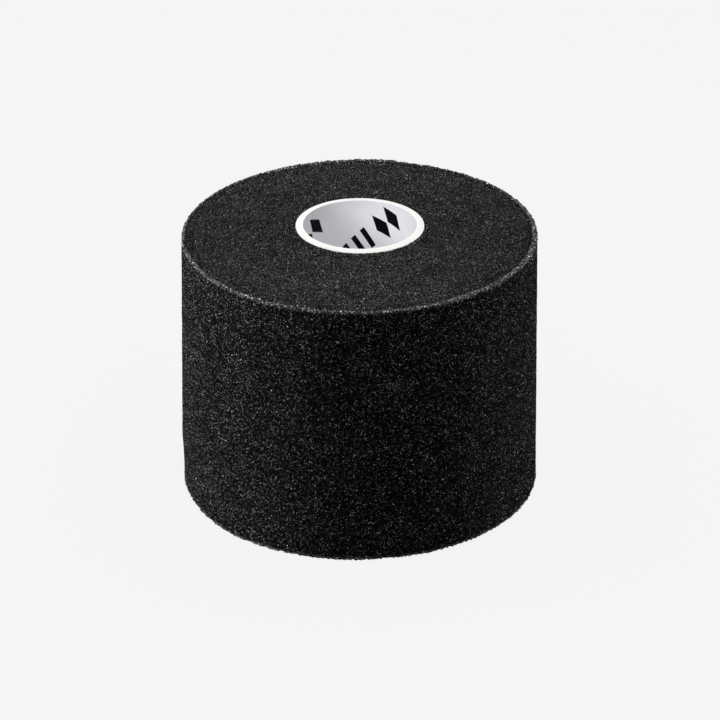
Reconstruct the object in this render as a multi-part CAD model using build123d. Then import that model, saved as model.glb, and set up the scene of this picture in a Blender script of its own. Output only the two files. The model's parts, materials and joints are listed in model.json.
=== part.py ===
from build123d import *
import math
import os

# A roll of thin foam wrap wound on a paper core, standing on one end.
# Millimetres and degrees. The roll's axis is +Z and its lowest end is at z = 0.
# Angles are counter-clockwise from +X, seen from above.

# The foam web, which is one long strip
WEB_WIDTH = 70.0
WEB_LENGTH = 27000.0
WEB_THICKNESS = 0.5  # of the loose outermost turn
ROLL_RADIUS = 46.0

# The core, wound from paper strips
CORE_BORE_RADIUS = 14.7
CORE_LENGTH = 70.0
CORE_ABOVE_FOAM = 0.5
CUT_SLOPE = 0.35  # how much lower the cut end is at its outer edge
LIP_BEVEL = 0.1
GLUE_LINE = 0.02
WINDING_ANGLE = 44.0  # between a strip's edge and the core's end
SEAM_WIDTH = 0.2
# Each ply from the bore outwards: name, thickness, and where its seam reaches the top
CORE_PLIES = (
    ("core_liner", 0.265, 140.0),
    ("core_ply_1", 0.43, 20.0),
    ("core_ply_2", 0.43, 265.0),
    ("core_ply_3", 0.43, 75.0),
    ("core_outer_ply", 0.265, 178.0),
)

# The strip of tape that fixes the start of the web to the core
START_TAPE_THICKNESS = 0.1
START_TAPE_ARC = 42.0
START_TAPE_ANGLE = 300.0
TAPE_CLEARANCE = 0.02

# How far each turn has slid up the roll, so that the ends are dished
SLIDE_AT_CORE = 2.15
SLIDE_MIDWAY = 1.6
SLIDE_AT_BAND = 0.4
MIDWAY_RADIUS = 30.0
BAND_RADIUS = 43.0  # outside it the turns haven't slid, and carry the roll

# The free end, on the back of the roll, from its tip inwards
TIP_ANGLE = 78.0
TAIL_LINKS = ("foam_tail_tip", "foam_tail_mid", "foam_tail_root")
LINK_ARC = 15.0
LINK_SPACING = 0.2  # degrees between two links
TAIL_LIFT = 0.12  # clear of the turn under it
TAIL_RISE = 0.3  # clear of the surface that the roll stands on
TAIL_ARC = LINK_ARC * len(TAIL_LINKS)

HALF_TURN = 180.0
FULL_TURN = 360.0
CUT_MARGIN = 1.0


def web_arc(start, end, depth):
    """The web's outer face over part of one half turn, sunk by depth.

    start and end are degrees along the web from its tip. Half turns on two centres
    a quarter of the thickness either side of the axis make a scroll that closes in
    by one thickness in each turn.
    """
    half_turns = math.floor(start / HALF_TURN)
    side = 1 if half_turns % 2 == 0 else -1
    centre = Vector(side * WEB_THICKNESS / 4, 0).rotate(Axis.Z, TIP_ANGLE)
    radius = ROLL_RADIUS - WEB_THICKNESS / 4 - half_turns * WEB_THICKNESS / 2 - depth
    return CenterArc(centre, radius, TIP_ANGLE + start, end - start)


def web_arcs(start, end, depth):
    """The web's outer face from start to end, one arc for each half turn."""
    arcs = []
    while start < end:
        half_turn_end = (math.floor(start / HALF_TURN) + 1) * HALF_TURN
        arcs.append(web_arc(start, min(end, half_turn_end), depth))
        start = half_turn_end
    return arcs


def web_strip(start, end, outer_depth, bottom):
    """One stretch of the web, as a closed solid of its full width."""
    outer = web_arcs(start, end, outer_depth)
    inner = web_arcs(start, end, outer_depth + WEB_THICKNESS)
    near_end = Line(outer[0] @ 0, inner[0] @ 0)
    far_end = Line(outer[-1] @ 1, inner[-1] @ 1)
    outline = Wire([*outer, far_end, *inner, near_end])
    return Pos(0, 0, bottom) * extrude(Face(outline), WEB_WIDTH, dir=(0, 0, 1))


def slid_end(height, inner_radius):
    """The section of one dished end of the roll, from the core to the flat outer band."""
    at_core = (inner_radius, height + SLIDE_AT_CORE)
    midway = (MIDWAY_RADIUS, height + SLIDE_MIDWAY)
    at_band = (BAND_RADIUS, height + SLIDE_AT_BAND)
    rim = (ROLL_RADIUS + CUT_MARGIN, height)
    return [
        ThreePointArc(at_core, midway, at_band),
        Line(at_band, (BAND_RADIUS, height)),
        Line((BAND_RADIUS, height), rim),
    ]


def wound_pack(core_radius):
    """All the turns under the outermost one, as one solid with dished ends."""
    top = slid_end(WEB_WIDTH, core_radius)
    bottom = slid_end(0, core_radius)
    bore_side = Line(bottom[0] @ 0, top[0] @ 0)
    rim_side = Line(bottom[-1] @ 1, top[-1] @ 1)
    section = Face(Wire([*top, rim_side, *bottom, bore_side]))
    dished = revolve(Plane.XZ * section, Axis.Z, FULL_TURN)

    start = TAIL_ARC + FULL_TURN
    scroll = web_arcs(start, start + FULL_TURN, 0)
    step = Line(scroll[-1] @ 1, scroll[0] @ 0)
    outline = Face(Wire([*scroll, step]))
    prism = Pos(0, 0, -CUT_MARGIN) * extrude(outline, WEB_WIDTH + 10 * CUT_MARGIN, dir=(0, 0, 1))
    return dished & prism


def core_bottom():
    return SLIDE_AT_CORE + CORE_ABOVE_FOAM


def wall_section(outer_radius):
    """The section of the core's wall, whose cut ends slope down to the outside."""
    width = outer_radius - CORE_BORE_RADIUS
    half = CORE_LENGTH / 2
    outline = Polygon(
        (0, -half + LIP_BEVEL),
        (LIP_BEVEL, -half),
        (width, -half + CUT_SLOPE),
        (width, half - CUT_SLOPE),
        (LIP_BEVEL, half),
        (0, half - LIP_BEVEL),
        align=None,
    )
    return Pos(CORE_BORE_RADIUS, core_bottom() + half) * outline


def closed_ply(wall, inner, outer, start_angle):
    """One ply with no seam, cut from the wall's section and turned about the axis."""
    middle = Pos((inner + outer) / 2, core_bottom() + CORE_LENGTH / 2)
    section = wall & middle * Rectangle(outer - inner, CORE_LENGTH + CUT_MARGIN)
    return Rot(0, 0, start_angle) * revolve(Plane.XZ * section, Axis.Z, FULL_TURN)


def turn_per_mm():
    """How many degrees a strip's edge turns for each millimetre that it climbs."""
    lead = 2 * math.pi * CORE_BORE_RADIUS * math.tan(math.radians(WINDING_ANGLE))
    return -FULL_TURN / lead


def butt_gap(inner, outer, top_angle):
    """The narrow gap between the edges of a ply's strip, which turns as it climbs."""
    start_angle = top_angle - turn_per_mm() * (CORE_LENGTH + CUT_MARGIN)
    slot = Pos((inner + outer) / 2, 0) * Rectangle(outer - inner + CUT_MARGIN, SEAM_WIDTH)
    start = Pos(0, 0, core_bottom() - CUT_MARGIN) * Rot(0, 0, start_angle) * slot
    height = CORE_LENGTH + 2 * CUT_MARGIN
    return Solid.extrude_linear_with_rotation(
        start.face(), (0, 0, 0), (0, 0, height), turn_per_mm() * height
    )


def core_plies():
    """Every ply of the core as (name, solid), and the core's outer radius."""
    thicknesses = [thickness for _, thickness, _ in CORE_PLIES]
    outer_radius = CORE_BORE_RADIUS + sum(thicknesses) + GLUE_LINE * (len(CORE_PLIES) - 1)
    wall = wall_section(outer_radius)
    # Midway in the angle that a seam, less than one turn long, doesn't cross
    clear_of_seam = -(FULL_TURN + turn_per_mm() * CORE_LENGTH) / 2
    plies = []
    inner = CORE_BORE_RADIUS
    for name, thickness, seam_angle in CORE_PLIES:
        outer = inner + thickness
        gap = butt_gap(inner, outer, seam_angle)
        ply = closed_ply(wall, inner, outer, seam_angle + clear_of_seam)
        plies.append((name, ply - gap))
        inner = outer + GLUE_LINE
    return plies, outer_radius


def tape_sector(inner, outer, arc, bottom, length):
    """A stretch of a tube's wall, arc degrees wide, centred on the tape's place."""
    start = START_TAPE_ANGLE - arc / 2
    outer_edge = CenterArc((0, 0), outer, start, arc)
    inner_edge = CenterArc((0, 0), inner, start, arc)
    sides = [Line(outer_edge @ end, inner_edge @ end) for end in (0, 1)]
    face = Face(Wire([outer_edge, inner_edge, *sides]))
    return Pos(0, 0, bottom) * extrude(face, length, dir=(0, 0, 1))


def hinge_point(link):
    """Where a tail link bends: on the web's outer face, midway in the gap before the link."""
    from_tip = (link + 1) * LINK_ARC + LINK_SPACING / 2
    return web_arc(from_tip, from_tip + LINK_SPACING, -TAIL_LIFT) @ 0


def main():
    os.makedirs("parts", exist_ok=True)
    nodes, core_radius = core_plies()

    tape_length = WEB_WIDTH - 2 * CORE_ABOVE_FOAM
    tape_bottom = core_bottom() + CORE_ABOVE_FOAM
    tape_inner = core_radius + GLUE_LINE
    tape_outer = tape_inner + START_TAPE_THICKNESS
    tape = tape_sector(tape_inner, tape_outer, START_TAPE_ARC, tape_bottom, tape_length)
    nodes.append(("start_tape", tape))

    recess_arc = START_TAPE_ARC + math.degrees(2 * TAPE_CLEARANCE / tape_outer)
    recess = tape_sector(
        core_radius, tape_outer + TAPE_CLEARANCE, recess_arc, -CUT_MARGIN, WEB_WIDTH + 10 * CUT_MARGIN
    )
    nodes.append(("foam_wound_pack", wound_pack(core_radius + TAPE_CLEARANCE) - recess))

    turn_start = TAIL_ARC + LINK_SPACING
    turn_end = TAIL_ARC + FULL_TURN
    nodes.append(("foam_outer_turn", web_strip(turn_start, turn_end, 0, 0)))

    for link, name in enumerate(TAIL_LINKS):
        start = link * LINK_ARC + (LINK_SPACING if link else 0)
        end = (link + 1) * LINK_ARC
        nodes.append((name, web_strip(start, end, -TAIL_LIFT, TAIL_RISE)))
        point = hinge_point(link)
        print(f"{name} hinge at {point.X:.3f}, {point.Y:.3f}")

    for name, solid in nodes:
        export_step(solid, f"parts/{name}.step")

    wound_area = math.pi * (ROLL_RADIUS**2 - core_radius**2)
    print(f"core outer radius {core_radius:.2f}, mean wound pitch {wound_area / WEB_LENGTH:.3f}")


main()
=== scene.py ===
import json
import math

import bpy
import numpy as np
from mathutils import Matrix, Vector


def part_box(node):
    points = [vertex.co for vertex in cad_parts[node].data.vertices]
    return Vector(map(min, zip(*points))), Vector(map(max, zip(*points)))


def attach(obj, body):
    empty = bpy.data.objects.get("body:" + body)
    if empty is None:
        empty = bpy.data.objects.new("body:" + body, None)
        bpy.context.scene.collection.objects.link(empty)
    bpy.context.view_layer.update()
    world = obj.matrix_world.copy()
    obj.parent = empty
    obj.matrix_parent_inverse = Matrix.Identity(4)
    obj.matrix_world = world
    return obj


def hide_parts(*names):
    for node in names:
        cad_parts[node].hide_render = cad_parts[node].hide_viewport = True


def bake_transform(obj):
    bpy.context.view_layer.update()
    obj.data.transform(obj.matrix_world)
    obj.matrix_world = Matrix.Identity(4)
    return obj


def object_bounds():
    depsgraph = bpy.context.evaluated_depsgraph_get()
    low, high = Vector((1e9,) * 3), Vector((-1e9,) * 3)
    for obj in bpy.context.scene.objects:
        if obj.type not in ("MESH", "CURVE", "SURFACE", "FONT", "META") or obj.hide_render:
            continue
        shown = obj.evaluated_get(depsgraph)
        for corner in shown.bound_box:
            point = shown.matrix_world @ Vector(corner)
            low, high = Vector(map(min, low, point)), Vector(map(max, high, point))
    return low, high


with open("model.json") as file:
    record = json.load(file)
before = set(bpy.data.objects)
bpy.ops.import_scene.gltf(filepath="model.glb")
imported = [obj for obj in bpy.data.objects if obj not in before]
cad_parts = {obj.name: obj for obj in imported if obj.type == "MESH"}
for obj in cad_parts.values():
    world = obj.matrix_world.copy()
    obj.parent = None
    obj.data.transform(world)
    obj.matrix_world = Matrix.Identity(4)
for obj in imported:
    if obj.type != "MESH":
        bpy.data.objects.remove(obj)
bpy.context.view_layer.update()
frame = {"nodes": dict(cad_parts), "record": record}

# Lengths are in metres and angles in degrees, counter-clockwise from +X seen from above.
MM = 0.001

# The web of foam, as the CAD model winds it. Turns are counted in degrees in from its tip
WEB_THICKNESS = 0.5 * MM
TIP_ANGLE = 78.0
LINK_ARC = 15.0
TAIL_ARC = 3 * LINK_ARC
FULL_TURN = 360.0
TAIL_LIFT = 0.12 * MM  # how far the free end stands off the turn under it
LIFT_ENDS = 60.0  # the turn at which that has faded out
TIP_STANDS_OUT = WEB_THICKNESS * 372.0 / FULL_TURN  # beyond the side of the CAD's outer turn

web_low, web_high = (corner.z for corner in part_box("foam_outer_turn"))
pack_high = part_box("foam_wound_pack")[1].z
core_low, core_high = (corner.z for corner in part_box("core_liner"))
core_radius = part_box("core_outer_ply")[1].x
bore_radius = frame["record"]["mounts"][0]["dims"]["r_mm"] * MM
# The web's outer face is widest at its tip, and closes in by its thickness in each turn
roll_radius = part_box("foam_outer_turn")[1].x + TIP_STANDS_OUT

# How far the turns have slid up the roll: at the core, midway, and at the flat outer band
SLIDE_RADII = np.array([core_radius, 30 * MM, 43 * MM])
SLIDES = np.array([pack_high - web_high, 1.6 * MM, 0.4 * MM])
BAND_RADIUS = SLIDE_RADII[2]

# How far apart the points of the foam's meshes are
SIDE_STEP = 0.36 * MM
TOP_STEP = 0.3 * MM
TOP_COLUMNS = 840
BEAD_STEPS = 6  # across the rounding of the web's edge
# Extra rows of points at the step where the outer band starts, and the rows on both sides of them
STEP_ROWS = np.array([-0.25, -0.12, 0.0, 0.1, 0.22, 0.4]) * MM
DOME_STOPS = 0.35 * MM
BAND_STARTS = 0.6 * MM
BAND_STEP = 0.2 * MM

# Surface relief: the size of the cells and of what lies over them, and how deep each face is worn
CELL = 0.78 * MM
FINE_CELL = 0.45 * MM
COARSE_SHARE = 0.62
FINE_SHARE = 0.38
SWELL = 4.5 * MM
SWELL_SHARE = 0.9
GRAIN = 0.2 * MM
SIDE_RELIEF = 0.12 * MM
TOP_RELIEF = 0.17 * MM
LIP_RELIEF = 0.22 * MM
FRAY = 0.34 * MM

# The outermost turn's edges: the upper one, the lip, has spread, most of all at the right front
EDGE_ROUNDING = 0.25 * MM
FOOT_WIDTH = 0.6 * MM
LIP_WIDTH = 0.7 * MM
LIP_SPREAD = 0.55 * MM
LIP_WANDER = 0.25 * MM
LIP_RISE = 0.06 * MM
SPREAD_TOWARDS = -38.0
FRAYED_BAND = (0.2 * MM, 0.9 * MM)  # full and no fraying, measured from the edge

# The ends of the pack: the step by the outer band, and the groove beside the lip
STEP_WIDTH = 0.22 * MM
STEP_DEPTH = 0.14 * MM
GROOVE_WIDTH = 0.36 * MM
GROOVE_FROM_LIP = 0.32 * MM
GROOVE_DEPTH = 0.5 * MM
GROOVE_SPREAD = 1.1 * MM

# Single turns, and bands of a few turns, stand above or below their neighbours
RING_WIDTH = 0.95 * MM
RING_HEIGHT = 0.46 * MM
BROAD_RING_WIDTH = 2.7 * MM
BROAD_RING_HEIGHT = 0.3 * MM
LOOSENING_RADII = (32 * MM, 42 * MM)

# Standing loosely, the turns lean: lower at the left and higher at the right, and wider at the foot
TOP_LEAN = 0.0105
FOOT_LEAN = 0.0095
FOOT_FLARE = 1.15 * MM
FOOT_TUCK = 0.65 * MM
TUCK_LIFT = 0.7  # how much the tucked foot rises for each bit that it goes in


# ---------------------------------------------------------------- repeatable noise


# What mixes the bits of a cell's numbers until they look random
HASH_FACTORS = (73856093, 19349663, 83492791)
SEED_FACTOR = 2654435
HASH_ROUNDS = ((15, 1274126177), (13, 974634777))
LAST_SHIFT = 16
LOW_BITS = 0x7FFFFFFF


def hashed(cells, seed):
    """One repeatable number from 0 to 1 for each row of whole numbers."""
    n = seed * SEED_FACTOR
    for axis, factor in enumerate(HASH_FACTORS):
        n = n ^ cells[:, axis] * factor
    n = n & LOW_BITS
    for shift, factor in HASH_ROUNDS:
        n = ((n ^ (n >> shift)) * factor) & LOW_BITS
    return (n ^ (n >> LAST_SHIFT)) / LOW_BITS


def neighbours(reach):
    """Every step to another cell that is one of reach along each axis."""
    return [(x, y, z) for x in reach for y in reach for z in reach]


def cell_walls(points, size, seed):
    """Foam cells of about that size: 1 on the walls between them, 0 in the middle of a cell."""
    far_off = 9.0
    wall_width = 0.45
    scaled = points / size
    base = np.floor(scaled).astype(np.int64)
    nearest = np.full(len(points), far_off)
    second = np.full(len(points), far_off)
    for offset in neighbours((-1, 0, 1)):
        cell = base + np.array(offset)
        seeds = np.stack([hashed(cell, seed + axis) for axis in range(3)], axis=1)
        distance = np.linalg.norm(scaled - cell - seeds, axis=1)
        second = np.minimum(second, np.maximum(nearest, distance))
        nearest = np.minimum(nearest, distance)
    return np.clip(1 - (second - nearest) / wall_width, 0, 1)


def drift(points, size, seed):
    """Smooth noise from 0 to 1, with features of about that size."""
    scaled = points / size
    base = np.floor(scaled).astype(np.int64)
    part = scaled - base
    part = part * part * (3 - 2 * part)
    total = np.zeros(len(points))
    for corner in neighbours((0, 1)):
        weight = np.prod(np.where(np.array(corner) == 1, part, 1 - part), axis=1)
        total += weight * hashed(base + np.array(corner), seed)
    return total


def line_drift(values, size, seed):
    """drift along one direction."""
    flat = np.ravel(values)
    points = np.stack([flat, np.zeros_like(flat), np.zeros_like(flat)], axis=1)
    return drift(points, size, seed).reshape(np.shape(values))


def smoothstep(value, low, high):
    """0 at low and 1 at high, with an even rise between them."""
    t = np.clip((value - low) / (high - low), 0, 1)
    return t * t * (3 - 2 * t)


# ---------------------------------------------------------------- the roll's form


def web_radius(turn):
    """The radius of the web's outer face, turn degrees in from its tip."""
    return roll_radius - WEB_THICKNESS * turn / FULL_TURN


def slide(radius):
    """How far a turn inside the outer band has slid up the roll: a parabola through SLIDES."""
    a, b, c = SLIDE_RADII
    return (
        SLIDES[0] * (radius - b) * (radius - c) / ((a - b) * (a - c))
        + SLIDES[1] * (radius - a) * (radius - c) / ((b - a) * (b - c))
        + SLIDES[2] * (radius - a) * (radius - b) / ((c - a) * (c - b))
    )


def right_front(angle):
    """1 at the right of the front, where the outermost turn's edge has spread, falling to 0."""
    return smoothstep(np.cos(np.radians(angle - SPREAD_TOWARDS)), 0.35, 1.0)


def lip_width(angle):
    """How wide the outermost turn's upper edge has spread."""
    wander = line_drift(angle, size=17.0, seed=5) - 0.5
    return LIP_WIDTH + LIP_SPREAD * right_front(angle) + LIP_WANDER * wander


def lean(points):
    """The leaning and flare of the turns, nothing at the core and all of it at the rim."""
    x, y, z = points.T
    share = (x * x + y * y) / roll_radius**2
    up = (z - web_low) / (web_high - web_low)
    wider = 1 + FOOT_FLARE / roll_radius * (1 - up) * share
    slope = FOOT_LEAN + (TOP_LEAN - FOOT_LEAN) * up
    # At the left, the foot is tucked under a little
    at_left = smoothstep(-x / roll_radius, 0.7, 1.0)
    at_foot = smoothstep(1 - up, 0.75, 1.0)
    tuck = FOOT_TUCK * at_left * at_foot * share
    return np.stack([x * wider + tuck, y * wider, z + slope * x * share + TUCK_LIFT * tuck], axis=1)


def make_piece(name, points, faces, rest, layers):
    """A smooth mesh from arrays, with what the foam's material reads at each point."""
    mesh = bpy.data.meshes.new(name)
    mesh.from_pydata(points, [], faces)
    mesh.validate()
    mesh.shade_smooth()
    place = mesh.attributes.new("rest_place", "FLOAT_VECTOR", "POINT")
    place.data.foreach_set("vector", rest.astype(np.float32).ravel())
    for label, values in layers.items():
        layer = mesh.attributes.new(label, "FLOAT", "POINT")
        layer.data.foreach_set("value", values.astype(np.float32))
    piece = bpy.data.objects.new(name, mesh)
    bpy.context.scene.collection.objects.link(piece)
    return piece


def loft(name, angle, radius, height, out, up, depth, cut, painted_shading, closed, end_grain):
    """A solid swept round the axis, roughened along its own normals.

    Every array has a row for each column round the axis and a value for each point of
    the section's loop. out and up are the normal, depth is how rough the point is, cut is
    1 on a fraying edge, which also gets a painted highlight, and the last array is painted
    light and shade, a factor on how light the foam looks there.
    """
    columns, around = radius.shape
    turned = np.radians(angle)[:, None]
    east, north = np.cos(turned), np.sin(turned)
    plain = np.stack([radius * east, radius * north, height], axis=2).reshape(-1, 3)
    normal = np.stack([out * east, out * north, up], axis=2).reshape(-1, 3)
    coarse = cell_walls(plain, CELL, seed=11)
    fine = cell_walls(plain, FINE_CELL, seed=23)
    rough = COARSE_SHARE * coarse + FINE_SHARE * fine
    swell = drift(plain, SWELL, seed=31) - 0.5
    loose = hashed(np.floor(plain / GRAIN).astype(np.int64), seed=47) - 0.4
    worn = depth.reshape(-1) * ((rough - 0.5) * 2 + SWELL_SHARE * swell)
    frayed = FRAY * cut.reshape(-1) * loose
    points = lean(plain + normal * (worn + frayed)[:, None])

    here = np.arange(columns * around).reshape(columns, around)
    far = np.roll(here, -1, axis=0)
    if not closed:
        here, far = here[:-1], far[:-1]
    quads = np.stack(
        [here, far, np.roll(far, -1, axis=1), np.roll(here, -1, axis=1)], axis=2
    ).reshape(-1, 4)
    faces = quads.tolist()
    if not closed:
        last = (columns - 1) * around
        faces.append(list(range(around)))
        faces.append(list(range(last + around - 1, last - 1, -1)))
    layers = {
        "relief": rough,
        "cut_edge": cut.reshape(-1),
        "painted_shading": painted_shading.reshape(-1),
        "end_grain": np.full(len(points), end_grain),
    }
    piece = make_piece(name, points, faces, plain, layers)
    if not closed:
        for cap in piece.data.polygons[-2:]:
            cap.use_smooth = False
    return piece


def half_circle(steps):
    """Angles from 0 to a half turn, without their ends."""
    return np.linspace(0, math.pi, steps + 2)[1:-1]


def web_strip(name, start, end):
    """One stretch of the web, from start to end degrees in from its tip."""
    low, high = web_low, web_high
    columns = max(4, int(math.radians(end - start) * roll_radius / SIDE_STEP))
    turn = np.linspace(start, end, columns)
    angle = TIP_ANGLE + turn
    lift = TAIL_LIFT * (1 - smoothstep(turn, TAIL_ARC, LIFT_ENDS))
    outer = (web_radius(turn) + lift)[:, None]
    lip = lip_width(angle)[:, None]

    # The loop goes up the outer face, over the lip, down the inner face and round the foot
    rows = int((high - low) / SIDE_STEP)
    face = np.linspace(low + EDGE_ROUNDING, high - EDGE_ROUNDING, rows)[None, :]
    bead = half_circle(BEAD_STEPS)[None, :]
    inner = np.array([high - 3 * EDGE_ROUNDING, (low + high) / 2, low + 3 * EDGE_ROUNDING])[None, :]
    top_middle = high - EDGE_ROUNDING
    foot_middle = low + EDGE_ROUNDING
    on_face, on_bead, on_inner = (np.ones_like(part) for part in (face, bead, inner))
    near_edge = np.minimum(face - low, high - face)

    radius = [
        outer * on_face,
        outer - lip / 2 * (1 - np.cos(bead)),
        (outer - WEB_THICKNESS) * on_inner,
        outer - FOOT_WIDTH / 2 * (1 + np.cos(bead)),
    ]
    height = [
        face,
        top_middle + (EDGE_ROUNDING + LIP_RISE) * np.sin(bead),
        inner,
        foot_middle - EDGE_ROUNDING * np.sin(bead),
    ]
    out = [on_face, np.cos(bead), 0 * on_inner, -np.cos(bead)]
    up = [0 * on_face, np.sin(bead), 0 * on_inner, -np.sin(bead)]
    depth = [SIDE_RELIEF * on_face, LIP_RELIEF * on_bead, 0 * on_inner, LIP_RELIEF * on_bead]
    cut = [1 - smoothstep(near_edge, *FRAYED_BAND), on_bead, 0 * on_inner, on_bead]
    painted_shading = [on_face, on_bead, on_inner, on_bead]
    every_column = np.ones((columns, 1))
    arrays = [
        np.concatenate([every_column * part for part in parts], axis=1)
        for parts in (radius, height, out, up, depth, cut, painted_shading)
    ]
    return loft(name, angle, *arrays, closed=False, end_grain=0.0)


def pack_rows(limit):
    """Radii from the core to the pack's rim, closer together at the step by the outer band."""
    dome = np.arange(core_radius, BAND_RADIUS - DOME_STOPS, TOP_STEP)
    band = np.arange(BAND_RADIUS + BAND_STARTS, limit, BAND_STEP)
    return np.concatenate([dome, BAND_RADIUS + STEP_ROWS, band, [limit]])


def turn_edges(radius, angle):
    """How far single turns stand above or below their neighbours, more so near the rim."""
    wander = 0.5 * MM * (line_drift(angle, size=38.0, seed=71) - 0.5)
    rings = line_drift(radius + wander, RING_WIDTH, seed=73) - 0.5
    broad = line_drift(radius + wander, BROAD_RING_WIDTH, seed=79) - 0.5
    loose = 0.35 + 0.65 * smoothstep(radius, *LOOSENING_RADII)
    # Each ring comes and goes round the roll, at its own places
    degrees_per_metre = 4000
    fade = 0.4 + 0.6 * line_drift(angle + radius * degrees_per_metre, size=55.0, seed=83)
    return loose * fade * (RING_HEIGHT * rings + BROAD_RING_HEIGHT * broad)


def pack_end(radius, angle, outward):
    """The height of the pack's end above the web's edge; outward is 1 at the top and -1 at the foot."""
    wander = 0.35 * MM * (line_drift(angle, size=24.0, seed=91) - 0.5)
    inside = 1 - smoothstep(radius + wander, BAND_RADIUS - 0.1 * MM, BAND_RADIUS + 0.15 * MM)
    step = np.exp(-(((radius + wander - BAND_RADIUS - 0.2 * MM) / STEP_WIDTH) ** 2))
    # The outermost turn is one turn nearer to the tip than the pack's rim
    over = angle - FULL_TURN
    beside_lip = web_radius(over - TIP_ANGLE) - lip_width(over) - GROOVE_FROM_LIP
    groove = np.exp(-(((radius - beside_lip) / GROOVE_WIDTH) ** 2))
    depth = GROOVE_DEPTH + GROOVE_SPREAD * right_front(angle)
    sunk = STEP_DEPTH * step + depth * groove
    return inside * slide(np.minimum(radius, BAND_RADIUS)) - outward * sunk


def painted_nap_shading(angle):
    """Painted light and shade on the turns' cut ends: lighter at front and back, where their edges run
    across the view, and darker at left and right.
    """
    lightest = 1.12
    darkening = 0.26
    return lightest - darkening * np.cos(np.radians(angle)) ** 2


def pack_half(name, is_top):
    """The upper or lower half of the wound pack, with its end worked and its hidden walls plain."""
    turn = np.linspace(TAIL_ARC + FULL_TURN, TAIL_ARC + 2 * FULL_TURN, TOP_COLUMNS, endpoint=False)
    rim = web_radius(turn)
    rows = pack_rows(rim.mean())
    # Outside the band, the rows follow the scroll
    stretch = smoothstep(rows, BAND_RADIUS, rim.mean())
    radius = rows[None, :] + (rim - rim.mean())[:, None] * stretch[None, :]
    angle = np.broadcast_to((TIP_ANGLE + turn)[:, None], radius.shape)
    edge, outward = (web_high, 1) if is_top else (web_low, -1)
    height = edge + pack_end(radius, angle, outward) + turn_edges(radius, angle)

    # Two plain points, at the rim and at the core, close each column's loop at mid-height
    hidden = np.zeros((TOP_COLUMNS, 2))
    hidden_radius = np.stack([rim, np.full_like(rim, core_radius)], axis=1)
    middle = (web_low + web_high) / 2
    worked = np.ones_like(radius)
    worked_and_hidden = {
        "radius": (radius, hidden_radius),
        "height": (height, hidden + middle),
        "out": (0 * worked, hidden),
        "up": (outward * worked, hidden),
        "depth": (TOP_RELIEF * worked, hidden),
        "cut": (0 * worked, hidden),
        # The ends get painted light and shade, darker at left and right
        "painted_shading": (painted_nap_shading(angle), hidden),
    }
    arrays = [np.concatenate(pair, axis=1) for pair in worked_and_hidden.values()]
    # Seen from the other end, the loop has to run the other way for its faces to look outwards
    if is_top:
        arrays = [values[:, ::-1] for values in arrays]
    return loft(name, TIP_ANGLE + turn, *arrays, closed=True, end_grain=1.0)


# ---------------------------------------------------------------- materials


class Nodes:
    """A material's node tree, with short ways to add nodes and links."""

    def __init__(self, name):
        self.material = bpy.data.materials.new(name)
        self.material.use_nodes = True
        self.tree = self.material.node_tree
        self.shader = self.tree.nodes["Principled BSDF"]

    def add(self, kind, **settings):
        """A new node of that kind, with those settings."""
        node = self.tree.nodes.new(kind)
        for key, value in settings.items():
            setattr(node, key, value)
        return node

    def feed(self, socket, value):
        """Link value to the socket if it's another node's output, and set it there if not."""
        if isinstance(value, bpy.types.NodeSocket):
            self.tree.links.new(value, socket)
        else:
            socket.default_value = value

    def math(self, operation, a, b):
        node = self.add("ShaderNodeMath", operation=operation)
        self.feed(node.inputs[0], a)
        self.feed(node.inputs[1], b)
        return node.outputs[0]

    def spread(self, value, low, high, to_low=0.0, to_high=1.0):
        """value from low..high taken smoothly to to_low..to_high."""
        node = self.add("ShaderNodeMapRange", interpolation_type="SMOOTHSTEP")
        for socket, given in zip(node.inputs, (value, low, high, to_low, to_high)):
            self.feed(socket, given)
        return node.outputs[0]

    def mix(self, share, first, second):
        """The colour first where share is 0 and second where it is 1, and brighter past 1."""
        node = self.add("ShaderNodeMix", data_type="RGBA", clamp_factor=False)
        # The sockets for two colours come after those for two numbers and two vectors
        self.feed(node.inputs[0], share)
        self.feed(node.inputs[6], first)
        self.feed(node.inputs[7], second)
        return node.outputs[2]

    def attribute(self, name, output):
        return self.add("ShaderNodeAttribute", attribute_name=name).outputs[output]

    def noise(self, place, scale, detail, roughness=0.5):
        node = self.add("ShaderNodeTexNoise")
        self.feed(node.inputs["Vector"], place)
        self.feed(node.inputs["Scale"], scale)
        self.feed(node.inputs["Detail"], detail)
        self.feed(node.inputs["Roughness"], roughness)
        return node

    def voronoi(self, place, scale, feature="F1"):
        node = self.add("ShaderNodeTexVoronoi", feature=feature)
        self.feed(node.inputs["Vector"], place)
        self.feed(node.inputs["Scale"], scale)
        return node

    def warp(self, place, scale, reach):
        """place pushed about by up to reach, so that cells lose their straight walls."""
        push = self.add("ShaderNodeVectorMath", operation="SUBTRACT")
        self.feed(push.inputs[0], self.noise(place, scale, 1.0).outputs["Color"])
        self.feed(push.inputs[1], (0.5, 0.5, 0.5))
        moved = self.add("ShaderNodeVectorMath", operation="MULTIPLY_ADD")
        self.feed(moved.inputs[0], push.outputs[0])
        self.feed(moved.inputs[1], (2 * reach, 2 * reach, 2 * reach))
        self.feed(moved.inputs[2], place)
        return moved.outputs[0]

    def bump(self, height, distance, strength=1.0):
        """Roughen the shader's surface by height, which stands for up to that distance."""
        node = self.add("ShaderNodeBump")
        self.feed(node.inputs["Strength"], strength)
        self.feed(node.inputs["Distance"], distance)
        self.feed(node.inputs["Height"], height)
        self.tree.links.new(node.outputs[0], self.shader.inputs["Normal"])


# How many of each kind of cell the foam's material has in a metre
WARPS = 900.0
WALLS = 2400.0
FINE_WALLS = 4000.0
SHARDS = 3500.0
PATCHES = 170.0
BREAKS = 2900.0


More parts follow.
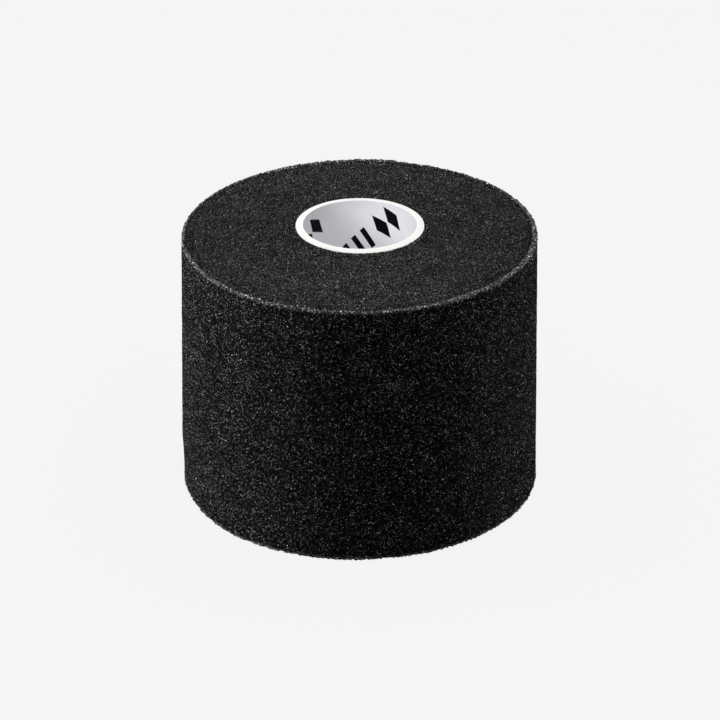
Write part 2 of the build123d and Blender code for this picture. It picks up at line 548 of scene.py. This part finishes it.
def foam_place(n):
    """Where a point was before it was roughened, squeezed upright so that cells lie flatter."""
    squeeze = n.add("ShaderNodeVectorMath", operation="MULTIPLY")
    n.feed(squeeze.inputs[0], n.attribute("rest_place", "Vector"))
    n.feed(squeeze.inputs[1], (1.0, 1.0, 1.25))
    return squeeze.outputs[0]


def foam_net(n, warped):
    """The net of struts: about 1 on the walls of coarse and fine cells, and 0 inside them."""
    walls = n.voronoi(warped, WALLS, "DISTANCE_TO_EDGE").outputs["Distance"]
    walls = n.spread(walls, 0.0, 0.26, 1.0, 0.0)
    fine = n.voronoi(warped, FINE_WALLS, "DISTANCE_TO_EDGE").outputs["Distance"]
    fine = n.spread(fine, 0.0, 0.3, 1.0, 0.0)
    relief = n.attribute("relief", "Fac")
    net = n.math("ADD", n.math("MULTIPLY", walls, 0.62), n.math("MULTIPLY", fine, 0.3))
    return n.math("ADD", net, n.math("MULTIPLY", relief, 0.15))


def lit_struts(n, place, net, painted_shine, edge):
    """How much of the struts' own colour shows, raised by painted highlights where shards shine and on
    frayed edges, and lowered by painted shade.
    """
    patches = n.spread(n.noise(place, PATCHES, 3.0).outputs["Fac"], 0.3, 0.7, 0.8, 1.2)
    broken = n.spread(n.noise(place, BREAKS, 2.0).outputs["Fac"], 0.38, 0.66, 0.1, 1.25)
    # Painted shade and highlight: on the web's face, which the light grazes, the struts are mostly dark
    # with stronger sparkle, unlike on the imported edges of its turns
    on_turn_ends = n.attribute("end_grain", "Fac")
    struts = n.math("POWER", n.spread(net, n.spread(on_turn_ends, 0.0, 1.0, 0.36, 0.25), 1.05), 2.3)
    struts = n.math("MULTIPLY", struts, n.spread(on_turn_ends, 0.0, 1.0, 2.0, 1.43))
    steady = n.spread(on_turn_ends, 0.0, 1.0, 0.02, 0.38)
    painted_sparkle = n.math("MULTIPLY", painted_shine, n.spread(on_turn_ends, 0.0, 1.0, 8.0, 3.9))
    lit = n.math("MULTIPLY", struts, n.math("ADD", steady, painted_sparkle))
    lit = n.math("MULTIPLY", lit, n.math("MULTIPLY", patches, broken))
    # Painted light and shade on the turns' ends, darker at left and right
    lit = n.math("MULTIPLY", lit, n.attribute("painted_shading", "Fac"))
    # Frayed edges are lighter: painted highlight where their fuzz catches the light
    frayed = n.math("ADD", n.math("MULTIPLY", struts, 0.9), n.math("MULTIPLY", painted_shine, 0.9))
    frayed = n.math("MULTIPLY", n.math("ADD", frayed, 0.03), broken)
    return n.math("ADD", lit, n.math("MULTIPLY", edge, frayed))


def foam_material():
    """Black open-cell foam: a net of lit struts round dark cells, with painted shade in the cells,
    painted sparkle on the struts and a few painted glints.
    """
    n = Nodes("black_open_cell_foam")
    place = foam_place(n)
    warped = n.warp(place, WARPS, 0.28 * MM)
    net = foam_net(n, warped)

    # Each shard has a colour of its own, whose red says how strong a painted highlight it gets
    shards = n.voronoi(warped, SHARDS)
    shard = n.add("ShaderNodeSeparateColor")
    n.feed(shard.inputs[0], shards.outputs["Color"])
    highlight_spot = n.spread(shards.outputs["Distance"], 0.15, 0.6, 1.0, 0.0)
    painted_shine = n.math("MULTIPLY", n.math("POWER", shard.outputs["Red"], 4.0), highlight_spot)

    edge = n.attribute("cut_edge", "Fac")
    # On frayed edges the struts are lighter and warmer: painted highlight on the fuzz
    strut = n.mix(edge, (0.338, 0.346, 0.356, 1), (0.43, 0.43, 0.395, 1))
    # Between the struts the foam is near black: its own black, with painted shade in the cells' hollows
    colour = n.mix(lit_struts(n, place, net, painted_shine, edge), (0.0006, 0.0006, 0.0009, 1), strut)

    # The few shards with the most blue get a painted glint, and their green says how warm it is
    chosen = n.spread(shard.outputs["Blue"], 0.95, 0.98)
    painted_glint = n.math("MULTIPLY", n.math("MULTIPLY", chosen, highlight_spot), n.spread(net, 0.2, 0.7))
    warm = n.spread(shard.outputs["Green"], 0.55, 0.9)
    tint = n.mix(warm, (0.38, 0.52, 0.55, 1), (0.6, 0.46, 0.32, 1))
    n.feed(n.shader.inputs["Base Color"], n.mix(painted_glint, colour, tint))

    n.feed(n.shader.inputs["Roughness"], n.spread(net, 0.2, 1.0, 0.95, 0.7))
    n.shader.inputs["Specular IOR Level"].default_value = 0.03
    n.shader.inputs["Sheen Weight"].default_value = 0.006
    n.shader.inputs["Sheen Roughness"].default_value = 0.45
    n.shader.inputs["Sheen Tint"].default_value = (0.75, 0.78, 0.82, 1)
    n.bump(net, 0.6 * MM)
    return n.material


def paper_material(name, light, dark, roughness, fibre):
    """White core paper: a faint mottle, with fibres that show where it is cut."""
    n = Nodes(name)
    place = n.add("ShaderNodeTexCoord").outputs["Object"]
    mottle = n.noise(place, 260.0, 4.0, 0.6).outputs["Fac"]
    fibres = n.noise(n.warp(place, 500.0, 0.4 * MM), 2200.0, 3.0, 0.6).outputs["Fac"]
    blend = n.math("ADD", n.math("MULTIPLY", mottle, 1 - fibre), n.math("MULTIPLY", fibres, fibre))
    n.feed(n.shader.inputs["Base Color"], n.mix(n.spread(blend, 0.35, 0.65), dark, light))
    n.feed(n.shader.inputs["Roughness"], n.spread(fibres, 0.3, 0.7, roughness - 0.06, roughness + 0.06))
    n.shader.inputs["Specular IOR Level"].default_value = 0.35
    n.bump(fibres, 0.02 * MM, 0.6)
    return n.material


def ink_material():
    """Black print on coated paper, a little uneven."""
    n = Nodes("black_print_ink")
    place = n.add("ShaderNodeTexCoord").outputs["Object"]
    uneven = n.noise(place, 900.0, 3.0).outputs["Fac"]
    colour = n.mix(uneven, (0.0015, 0.0015, 0.002, 1), (0.004, 0.004, 0.005, 1))
    n.feed(n.shader.inputs["Base Color"], colour)
    n.feed(n.shader.inputs["Roughness"], n.spread(uneven, 0.3, 0.7, 0.6, 0.75))
    n.shader.inputs["Specular IOR Level"].default_value = 0.1
    return n.material


def tape_material():
    """Thin yellowish film of double-sided tape."""
    n = Nodes("double_sided_tape")
    place = n.add("ShaderNodeTexCoord").outputs["Object"]
    mottle = n.noise(place, 400.0, 3.0).outputs["Fac"]
    colour = n.mix(mottle, (0.6, 0.56, 0.42, 1), (0.72, 0.68, 0.55, 1))
    n.feed(n.shader.inputs["Base Color"], colour)
    n.shader.inputs["Roughness"].default_value = 0.4
    return n.material


def floor_material():
    """A pale floor that gives some light of its own, so that its shadows stay faint."""
    n = Nodes("pale_floor")
    n.shader.inputs["Base Color"].default_value = (0.04, 0.04, 0.04, 1)
    n.shader.inputs["Roughness"].default_value = 0.9
    n.shader.inputs["Specular IOR Level"].default_value = 0.0
    n.shader.inputs["Emission Color"].default_value = (1, 1, 1, 1)
    n.shader.inputs["Emission Strength"].default_value = 0.874
    return n.material


# ---------------------------------------------------------------- the printed core


# Plain marks in rows along the liner's paper strip, which winds down the bore at a slant
INK_ABOVE_WALL = 0.02 * MM
INK_IN_WALL = 0.03 * MM
PRINT_SLANT = math.radians(44.0)
PRINT_REPEAT = 36.0 * MM
PRINT_ROW_SHIFT = 19.5 * MM
PRINT_ROW_SPACING = 14.9 * MM
PRINT_ROWS = range(-3, 4)
PRINT_REPEATS = range(-4, 5)
CLEAR_ABOVE = 3.5 * MM  # between a mark's middle and the bore's upper end
CLEAR_BELOW = 4.5 * MM  # and its lower end
FIRST_MARK_ANGLE = math.radians(55.0)
FIRST_MARK_DROP = 4.1 * MM  # below the core's top
# Outlines in mm, and the marks of one repeat: place along the row in mm, and outline
DIAMOND = [(0, 3.9), (1.9, 0), (0, -3.9), (-1.9, 0)]
BAR = [(-0.2, 2.9), (1.3, 2.9), (0.2, -2.9), (-1.3, -2.9)]
MARKS = [(0.0, DIAMOND), (4.3, DIAMOND), (9.6, BAR), (12.8, BAR), (16.0, BAR)]
RING_SIZES = (1.0, 0.66, 0.33)  # of the rings of points that fill a mark


def strip_to_wall(along, across):
    """(angle, height) on the bore of a place on the strip, measured from the first mark."""
    sideways = along * math.cos(PRINT_SLANT) - across * math.sin(PRINT_SLANT)
    downward = along * math.sin(PRINT_SLANT) + across * math.cos(PRINT_SLANT)
    return FIRST_MARK_ANGLE + sideways / bore_radius, core_high - FIRST_MARK_DROP - downward


def printed_mark(outline, steps=6):
    """A mark's outline with extra points along each side, so that it can follow the bore."""
    points = []
    for (x0, y0), (x1, y1) in zip(outline, outline[1:] + outline[:1]):
        for step in range(steps):
            t = step / steps
            points.append(((x0 + (x1 - x0) * t) * MM, (y0 + (y1 - y0) * t) * MM))
    return points


def on_bore(angle, height, radius):
    """A point from its place round and up the core."""
    return (radius * math.cos(angle), radius * math.sin(angle), height)


def add_side(points, faces, along, across, rim, centre, radius):
    """One side of a mark, in rings that shrink to its centre. Returns its first point."""
    start = len(points)
    for ring in RING_SIZES:
        for x, y in rim:
            s = along + centre[0] + (x - centre[0]) * ring
            n = across + centre[1] + (y - centre[1]) * ring
            points.append(on_bore(*strip_to_wall(s, n), radius))
    points.append(on_bore(*strip_to_wall(along + centre[0], across + centre[1]), radius))

    count = len(rim)
    side = []
    for ring in range(len(RING_SIZES) - 1):
        for k in range(count):
            a = start + ring * count + k
            b = start + ring * count + (k + 1) % count
            side.append([a, b, b + count, a + count])
    last = start + (len(RING_SIZES) - 1) * count
    tip = start + len(RING_SIZES) * count
    for k in range(count):
        side.append([last + k, last + (k + 1) % count, tip])
    if radius > bore_radius:
        side = [face[::-1] for face in side]
    faces.extend(side)
    return start


def add_mark(points, faces, along, across, outline):
    """A thin closed patch of ink on the bore's wall: a front, a back in the wall and a rim."""
    rim = printed_mark(outline)
    centre = (
        sum(x for x, _ in rim) / len(rim),
        sum(y for _, y in rim) / len(rim),
    )
    front_radius = bore_radius - INK_ABOVE_WALL
    back_radius = bore_radius + INK_IN_WALL
    front = add_side(points, faces, along, across, rim, centre, front_radius)
    back = add_side(points, faces, along, across, rim, centre, back_radius)
    for k in range(len(rim)):
        following = (k + 1) % len(rim)
        faces.append([front + following, front + k, back + k, back + following])


def core_print():
    """Every printed mark on the core's liner, as thin ink on its wall."""
    points, faces = [], []
    for row in PRINT_ROWS:
        for repeat in PRINT_REPEATS:
            for offset, outline in MARKS:
                along = repeat * PRINT_REPEAT + offset * MM + row * PRINT_ROW_SHIFT
                across = row * PRINT_ROW_SPACING
                angle, height = strip_to_wall(along, across)
                if not core_low + CLEAR_BELOW < height < core_high - CLEAR_ABOVE:
                    continue
                # One full turn and no more, so that no mark lies on another
                if not -math.pi / 2 < angle <= 3 * math.pi / 2:
                    continue
                add_mark(points, faces, along, across, outline)
    mesh = bpy.data.meshes.new("core_print")
    mesh.from_pydata(points, [], faces)
    mesh.shade_smooth()
    piece = bpy.data.objects.new("core_print", mesh)
    bpy.context.scene.collection.objects.link(piece)
    return piece


# ---------------------------------------------------------------- the stage


# The camera that was fitted to the photograph's outlines
CAMERA_DISTANCE = 0.9997
CAMERA_ELEVATION = math.radians(27.242)
CAMERA_PITCH = math.radians(27.335)
CAMERA_ROLL = math.radians(0.1)
CAMERA_LENS = 190.47
CAMERA_ASIDE = 0.08 * MM


def add_camera():
    """The photograph's view, from the front and above."""
    camera = bpy.data.objects.new("camera", bpy.data.cameras.new("camera"))
    camera.data.lens = CAMERA_LENS
    camera.data.sensor_width = 36
    camera.data.clip_start, camera.data.clip_end = 0.1, 20
    middle = (web_low + web_high) / 2
    camera.location = (
        CAMERA_ASIDE,
        -CAMERA_DISTANCE * math.cos(CAMERA_ELEVATION),
        middle + CAMERA_DISTANCE * math.sin(CAMERA_ELEVATION),
    )
    camera.rotation_euler = (math.pi / 2 - CAMERA_PITCH, 0, 0)
    camera.rotation_euler.rotate_axis("Z", CAMERA_ROLL)
    bpy.context.scene.collection.objects.link(camera)
    bpy.context.scene.camera = camera


def add_softbox(name, place, target, size, power, only=()):
    """A rectangular light, which may light only some objects."""
    light = bpy.data.lights.new(name, "AREA")
    light.shape = "RECTANGLE"
    light.size, light.size_y = size
    light.energy = power
    lamp = bpy.data.objects.new(name, light)
    lamp.location = place
    lamp.rotation_euler = (Vector(target) - Vector(place)).to_track_quat("-Z", "Y").to_euler()
    lamp.visible_camera = False
    bpy.context.scene.collection.objects.link(lamp)
    if only:
        receivers = bpy.data.collections.new(name + "_receivers")
        for piece in only:
            receivers.objects.link(piece)
        lamp.light_linking.receiver_collection = receivers


def add_world():
    """White where the camera sees past the floor, and a dim grey for everything it lights."""
    world = bpy.data.worlds.new("studio")
    world.use_nodes = True
    tree = world.node_tree
    backdrop = tree.nodes["Background"]
    backdrop.inputs["Color"].default_value = (0.92, 0.92, 0.92, 1)
    room = tree.nodes.new("ShaderNodeBackground")
    room.inputs["Color"].default_value = (0.0155, 0.0138, 0.023, 1)
    rays = tree.nodes.new("ShaderNodeLightPath")
    either = tree.nodes.new("ShaderNodeMixShader")
    tree.links.new(rays.outputs["Is Camera Ray"], either.inputs[0])
    tree.links.new(room.outputs[0], either.inputs[1])
    tree.links.new(backdrop.outputs[0], either.inputs[2])
    tree.links.new(either.outputs[0], tree.nodes["World Output"].inputs[0])
    bpy.context.scene.world = world


def add_floor():
    """The ground that the foam's lowest point stands on."""
    half = 4.0
    mesh = bpy.data.meshes.new("floor")
    corners = [(-half, -half, 0), (half, -half, 0), (half, half, 0), (-half, half, 0)]
    mesh.from_pydata(corners, [], [(0, 1, 2, 3)])
    mesh.materials.append(floor_material())
    floor = bpy.data.objects.new("floor", mesh)
    floor.location.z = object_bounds()[0].z
    floor.visible_diffuse = False
    floor.visible_glossy = False
    bpy.context.scene.collection.objects.link(floor)


def add_lights():
    """Softboxes: the two low ones light the web's face and hardly the ends of the turns."""
    middle = (0, 0, (web_low + web_high) / 2)
    mouth = (0, 0, core_high)
    add_softbox("top_light", (0, -0.05, 0.95), middle, (1.7, 1.7), 19.0)
    add_softbox("left_light", (-1.0, 0.1, 0.036), middle, (0.4, 0.07), 12.0)
    add_softbox("right_light", (1.0, 0.5, 0.036), middle, (0.3, 0.07), 3.9)
    liner = [frame["nodes"]["core_liner"]]
    add_softbox("bore_light", (-0.72, -0.62, 0.5), mouth, (0.4, 0.4), 5.2, liner)


def dress_cad_nodes():
    """Materials for the CAD nodes that stay in view."""
    cream = ((0.885, 0.862, 0.828, 1), (0.848, 0.827, 0.794, 1))
    cool_white = ((0.895, 0.895, 0.917, 1), (0.875, 0.875, 0.897, 1))
    board = paper_material("core_board_paper", *cream, roughness=0.85, fibre=0.7)
    liner = paper_material("core_liner_paper", *cool_white, roughness=0.55, fibre=0.3)
    chosen = {"core_liner": liner, "start_tape": tape_material()}
    for name, node in frame["nodes"].items():
        if name.startswith("core_") or name == "start_tape":
            node.data.materials.clear()
            node.data.materials.append(chosen.get(name, board))


# Stretches of the web that ride on the roll, in degrees in from its tip
TURN_ENDS = TAIL_ARC + FULL_TURN
HALF_WAY = (LIFT_ENDS + TURN_ENDS) / 2
TURN_STRETCHES = (
    ("foam_outer_turn_near", LIFT_ENDS, HALF_WAY),
    ("foam_outer_turn_far", HALF_WAY, TURN_ENDS),
)
# Stretches of the web's free end: where each starts and ends, its joint, the bodies and the node
CUT_1 = 1.5 * LINK_ARC
CUT_2 = 2.5 * LINK_ARC
TAIL_STRETCHES = (
    ("foam_tail_end", 0.0, CUT_1, LINK_ARC, "tail_mid", "tail_tip", "foam_tail_tip"),
    ("foam_tail_middle", CUT_1, CUT_2, 2 * LINK_ARC, "tail_root", "tail_mid", "foam_tail_mid"),
    ("foam_tail_start", CUT_2, LIFT_ENDS, TAIL_ARC, "roll", "tail_root", "foam_tail_root"),
)


def add_foam():
    """Every piece of foam: the outer turn and the pack on the roll's body, and the tail's stretches on
    none.
    """
    pieces = []
    for name, start, end in TURN_STRETCHES:
        piece = web_strip(name, start, end)
        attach(piece, "roll")
        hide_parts("foam_outer_turn")
        pieces.append(piece)

    for name, is_top in (("foam_pack_upper_half", True), ("foam_pack_lower_half", False)):
        piece = pack_half(name, is_top)
        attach(piece, "roll")
        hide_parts("foam_wound_pack")
        pieces.append(piece)

    for name, start, end, joint, inner_body, outer_body, node in TAIL_STRETCHES:
        piece = web_strip(name, start, end)
        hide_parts(node)
        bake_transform(piece)
        pieces.append(piece)

    foam = foam_material()
    for piece in pieces:
        piece.data.materials.append(foam)


def add_print():
    """The print inside the core, on the roll."""
    ink = core_print()
    ink.data.materials.append(ink_material())
    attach(ink, "roll")


dress_cad_nodes()
add_foam()
add_print()
add_camera()
add_world()
add_floor()
add_lights()
bpy.context.scene.view_settings.view_transform = "Standard"
